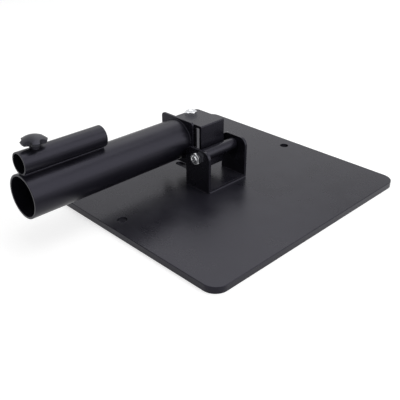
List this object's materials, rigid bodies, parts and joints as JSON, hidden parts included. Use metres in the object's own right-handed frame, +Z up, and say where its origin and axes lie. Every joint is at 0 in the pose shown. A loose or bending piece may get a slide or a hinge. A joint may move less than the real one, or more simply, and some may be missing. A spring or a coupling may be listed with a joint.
{
  "type": "barbell pivot attachment",
  "caption": "Square steel floor plate with a pitch and swivel pivot that carries a large and a small bar tube, with a lobed clamp knob on the small one.",
  "frame": {"origin": "centre of the base plate's underside", "axes": "+Z up; the bar tubes lie along -Y at rest; the pitch axis is along Y and the upper bracket opens towards -X"},
  "size_m": [0.4, 0.492, 0.1473],
  "materials": {
    "plate_paint": "satin dark powder coat",
    "frame_paint": "satin dark powder coat",
    "tube_paint": "semi-gloss dark powder coat",
    "weld_paint": "dark powder coat over a weld bead",
    "zinc": "bright zinc plate",
    "knob_plastic": "dark moulded plastic"
  },
  "bodies": {
    "base": {"base_plate": "plate_paint", "lower_bracket": "frame_paint", "lower_bracket_welds": "weld_paint", "pitch_bolt": "zinc", "pitch_nut": "zinc"},
    "yoke": {"upper_bracket": "frame_paint", "pitch_sleeve": "frame_paint", "pitch_sleeve_welds": "weld_paint", "swivel_bolt": "zinc", "swivel_nut": "zinc"},
    "arm": {"swivel_sleeve": "frame_paint", "swivel_rib": "frame_paint", "swivel_rib_welds": "weld_paint", "end_plate": "frame_paint", "large_bar_tube": "tube_paint", "large_tube_weld": "weld_paint", "small_bar_tube": "tube_paint", "small_tube_welds": "weld_paint", "clamp_boss": "frame_paint"},
    "clamp_tip": {"clamp_pad": "knob_plastic"},
    "clamp_grip": {"clamp_screw": "zinc", "clamp_knob": "knob_plastic"}
  },
  "joints": [
    {"name": "pitch", "type": "hinge", "parent": "base", "child": "yoke", "pos_m": [0.008, 0, 0.0605], "axis": [0, 1, 0], "range_deg": [-8, 120]},
    {"name": "swivel", "type": "hinge", "parent": "yoke", "child": "arm", "pos_m": [-0.047, 0, 0.0665], "axis": [0, 0, -1], "range_deg": [0, 180]},
    {"name": "clamp_feed", "type": "slide", "parent": "arm", "child": "clamp_tip", "axis": [0, 0, 1], "range_m": [-0.0012, 0.00501]},
    {"name": "clamp_turn", "type": "hinge", "parent": "clamp_tip", "child": "clamp_grip", "pos_m": [-0.047, -0.266, 0.13585], "axis": [0, 0, 1], "range_deg": [-345, 1440]}
  ],
  "couplings": [
    {"joint": "clamp_feed", "follows": "clamp_turn", "m_per_rad": 0.00019894}
  ]
}
